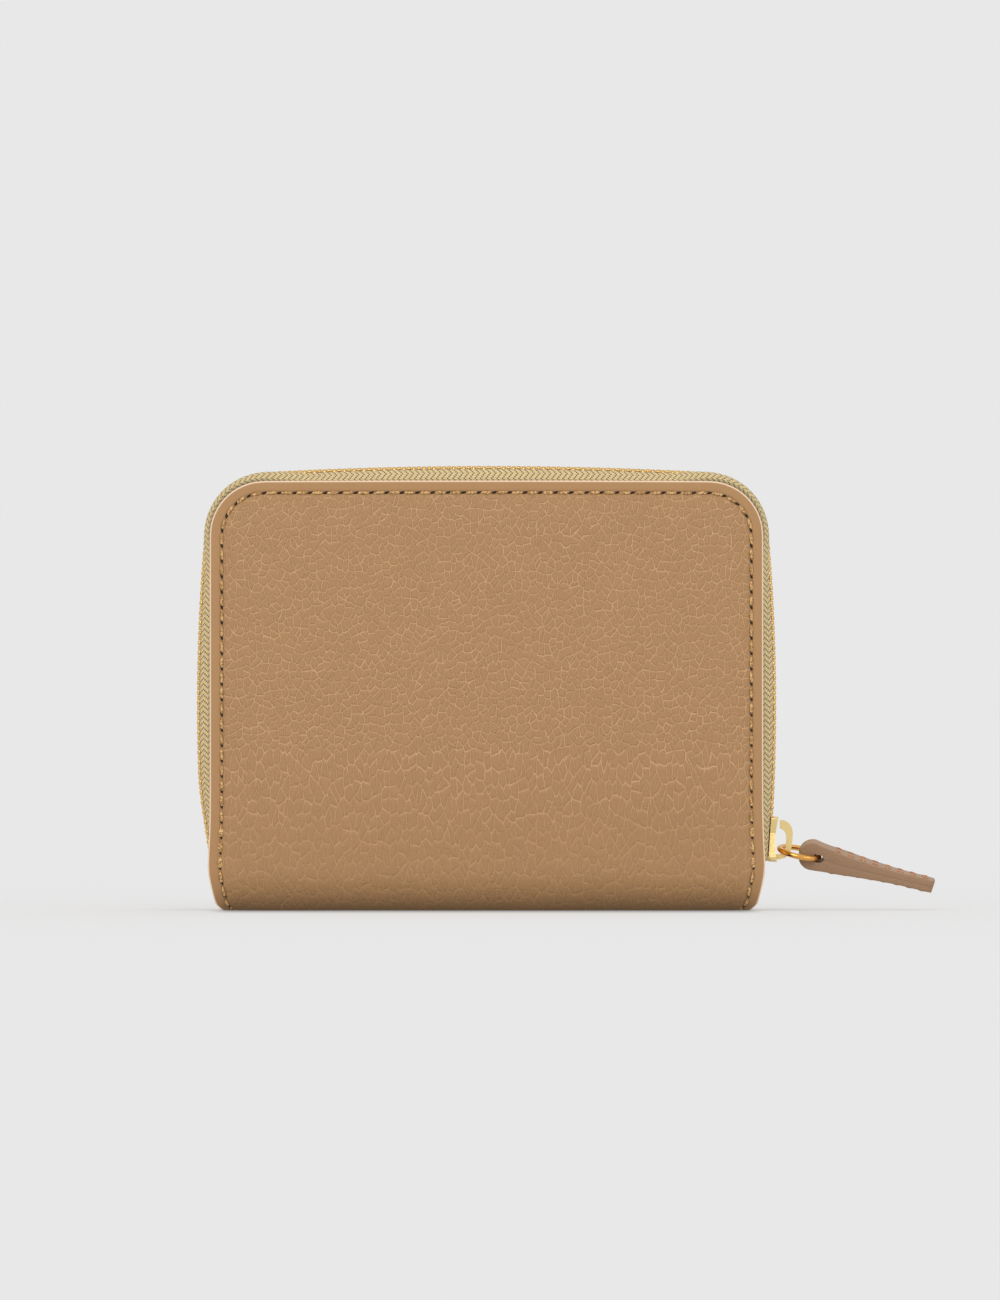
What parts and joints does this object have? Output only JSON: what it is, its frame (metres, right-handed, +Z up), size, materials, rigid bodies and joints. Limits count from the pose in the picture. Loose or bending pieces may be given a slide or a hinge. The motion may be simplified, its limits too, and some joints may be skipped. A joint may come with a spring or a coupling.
{
  "type": "zip-around wallet",
  "caption": "Zip-around leather wallet on its spine: folded cover, stitched edge, metal zip with ring-hung leather pull, stepped card pockets and a pleated coin pocket.",
  "frame": {"origin": "middle of the spine's flat foot, midway between the covers' outer faces", "axes": "+X along the spine towards the zip pull, -Y out of the front cover, +Z up from the spine to the zip's top run"},
  "size_m": [0.1477, 0.025, 0.0892],
  "materials": {
    "leather": "satin tan grained cowhide with pale painted edges",
    "lining": "matt brown twill",
    "board": "plain pressed board",
    "zip_tape": "woven herringbone zip tape",
    "gold_metal": "polished pale gold plate",
    "thread": "waxed golden-brown thread",
    "pull_leather": "satin tan strap leather with burnished edges"
  },
  "bodies": {
    "core": {"spine_leather": "leather", "spine_lining": "lining", "coin_pocket_front_wall": "lining", "coin_pocket_back_wall": "lining", "coin_pocket_right_pleat": "lining", "coin_pocket_left_pleat": "lining", "front_right_gusset": "lining", "front_left_gusset": "lining", "back_right_gusset": "lining", "back_left_gusset": "lining"},
    "front_half": {"front_cover_leather": "leather", "front_stiffener_board": "board", "front_lining": "lining", "front_card_pocket_upper": "leather", "front_card_pocket_middle": "leather", "front_card_pocket_lower": "leather", "front_zip_tape": "zip_tape", "front_zip_teeth": "gold_metal", "front_seam_thread": "thread"},
    "back_half": {"back_cover_leather": "leather", "back_stiffener_board": "board", "back_lining": "lining", "back_card_pocket_upper": "leather", "back_card_pocket_middle": "leather", "back_card_pocket_lower": "leather", "back_zip_tape": "zip_tape", "back_zip_teeth": "gold_metal", "back_seam_thread": "thread"},
    "slider": {"zip_slider": "gold_metal"},
    "ring": {"pull_ring": "gold_metal"},
    "tab": {"pull_tab": "pull_leather", "pull_tab_thread": "thread"}
  },
  "joints": [
    {"name": "cover_open", "type": "hinge", "parent": "core", "child": "front_half", "pos_m": [0, -0.0103, 0.0022], "axis": [1, 0, 0], "range_deg": [0, 40], "deforming": ["front_right_gusset", "front_left_gusset", "front_zip_teeth", "front_zip_tape", "back_right_gusset", "back_left_gusset"]},
    {"name": "back_cover_open", "type": "hinge", "parent": "core", "child": "back_half", "pos_m": [0, 0.0103, 0.0022], "axis": [1, 0, 0], "range_deg": [-40, 0], "deforming": ["front_right_gusset", "front_left_gusset", "front_zip_teeth", "front_zip_tape", "back_right_gusset", "back_left_gusset"]},
    {"name": "slider_travel", "type": "hinge", "parent": "back_half", "child": "slider", "pos_m": [-0.34275, 0, 0.041], "axis": [0, -1, 0], "range_deg": [0, 7], "deforming": ["front_zip_teeth", "back_zip_teeth"]},
    {"name": "ring_swing", "type": "hinge", "parent": "slider", "child": "ring", "pos_m": [0.05895, 0, 0.01232], "axis": [0.0407, 0.9806, 0.1917], "range_deg": [-40, 65]},
    {"name": "tab_swing", "type": "hinge", "parent": "ring", "child": "tab", "pos_m": [0.06678, 0, 0.01066], "axis": [0.0407, 0.9806, 0.1917], "range_deg": [-35, 20]}
  ],
  "couplings": [
    {"joint": "back_cover_open", "follows": "cover_open", "ratio": -1}
  ]
}
